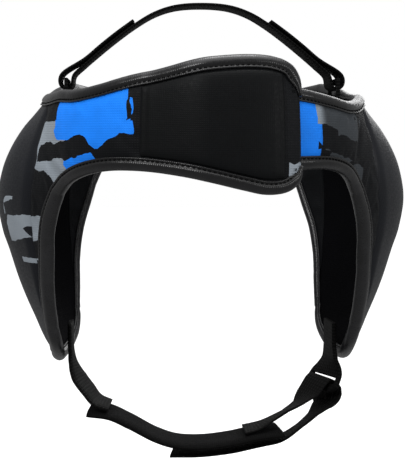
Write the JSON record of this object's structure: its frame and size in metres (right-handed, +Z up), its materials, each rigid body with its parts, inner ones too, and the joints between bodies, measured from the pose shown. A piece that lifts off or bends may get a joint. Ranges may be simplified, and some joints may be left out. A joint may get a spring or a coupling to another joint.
{
  "type": "wrestling ear guard",
  "caption": "Wrestling ear guard of bound neoprene panels with domed ear cups, an overlapping forehead flap, a crown strap and a looped chin strap.",
  "frame": {"origin": "seat on the crown of the head: the underside of the crown strap at its highest point, midway between the sides", "axes": "+Z up along the worn guard, the face looks along -Y, +X to the viewer's right of someone who faces the wearer"},
  "size_m": [0.213, 0.2153, 0.2377],
  "materials": {
    "neoprene": "matte neoprene with a knitted face",
    "shell_cloth": "smooth laminated cloth over a moulded shell",
    "binding_tape": "woven binding tape with a satin sheen",
    "patch_cloth": "smooth laminated cloth",
    "hook_and_loop": "hook-and-loop tape",
    "webbing": "woven nylon webbing",
    "chin_cloth": "soft loop-faced strap"
  },
  "bodies": {
    "root": {"band_left": "neoprene", "band_right": "neoprene", "back_left": "neoprene", "back_right": "neoprene", "cup_left": "shell_cloth", "cup_right": "shell_cloth", "binding_top_left": "binding_tape", "binding_low_left": "binding_tape", "binding_top_right": "binding_tape", "binding_low_right": "binding_tape", "flap_patch": "patch_cloth", "front_closure": "hook_and_loop", "back_closure": "hook_and_loop", "crown_tab_left": "webbing", "crown_tab_right": "webbing", "crown_strap": "webbing", "chin_web": "webbing", "chin_strap": "chin_cloth", "chin_loop": "webbing", "chin_tab": "webbing"}
  },
  "joints": []
}
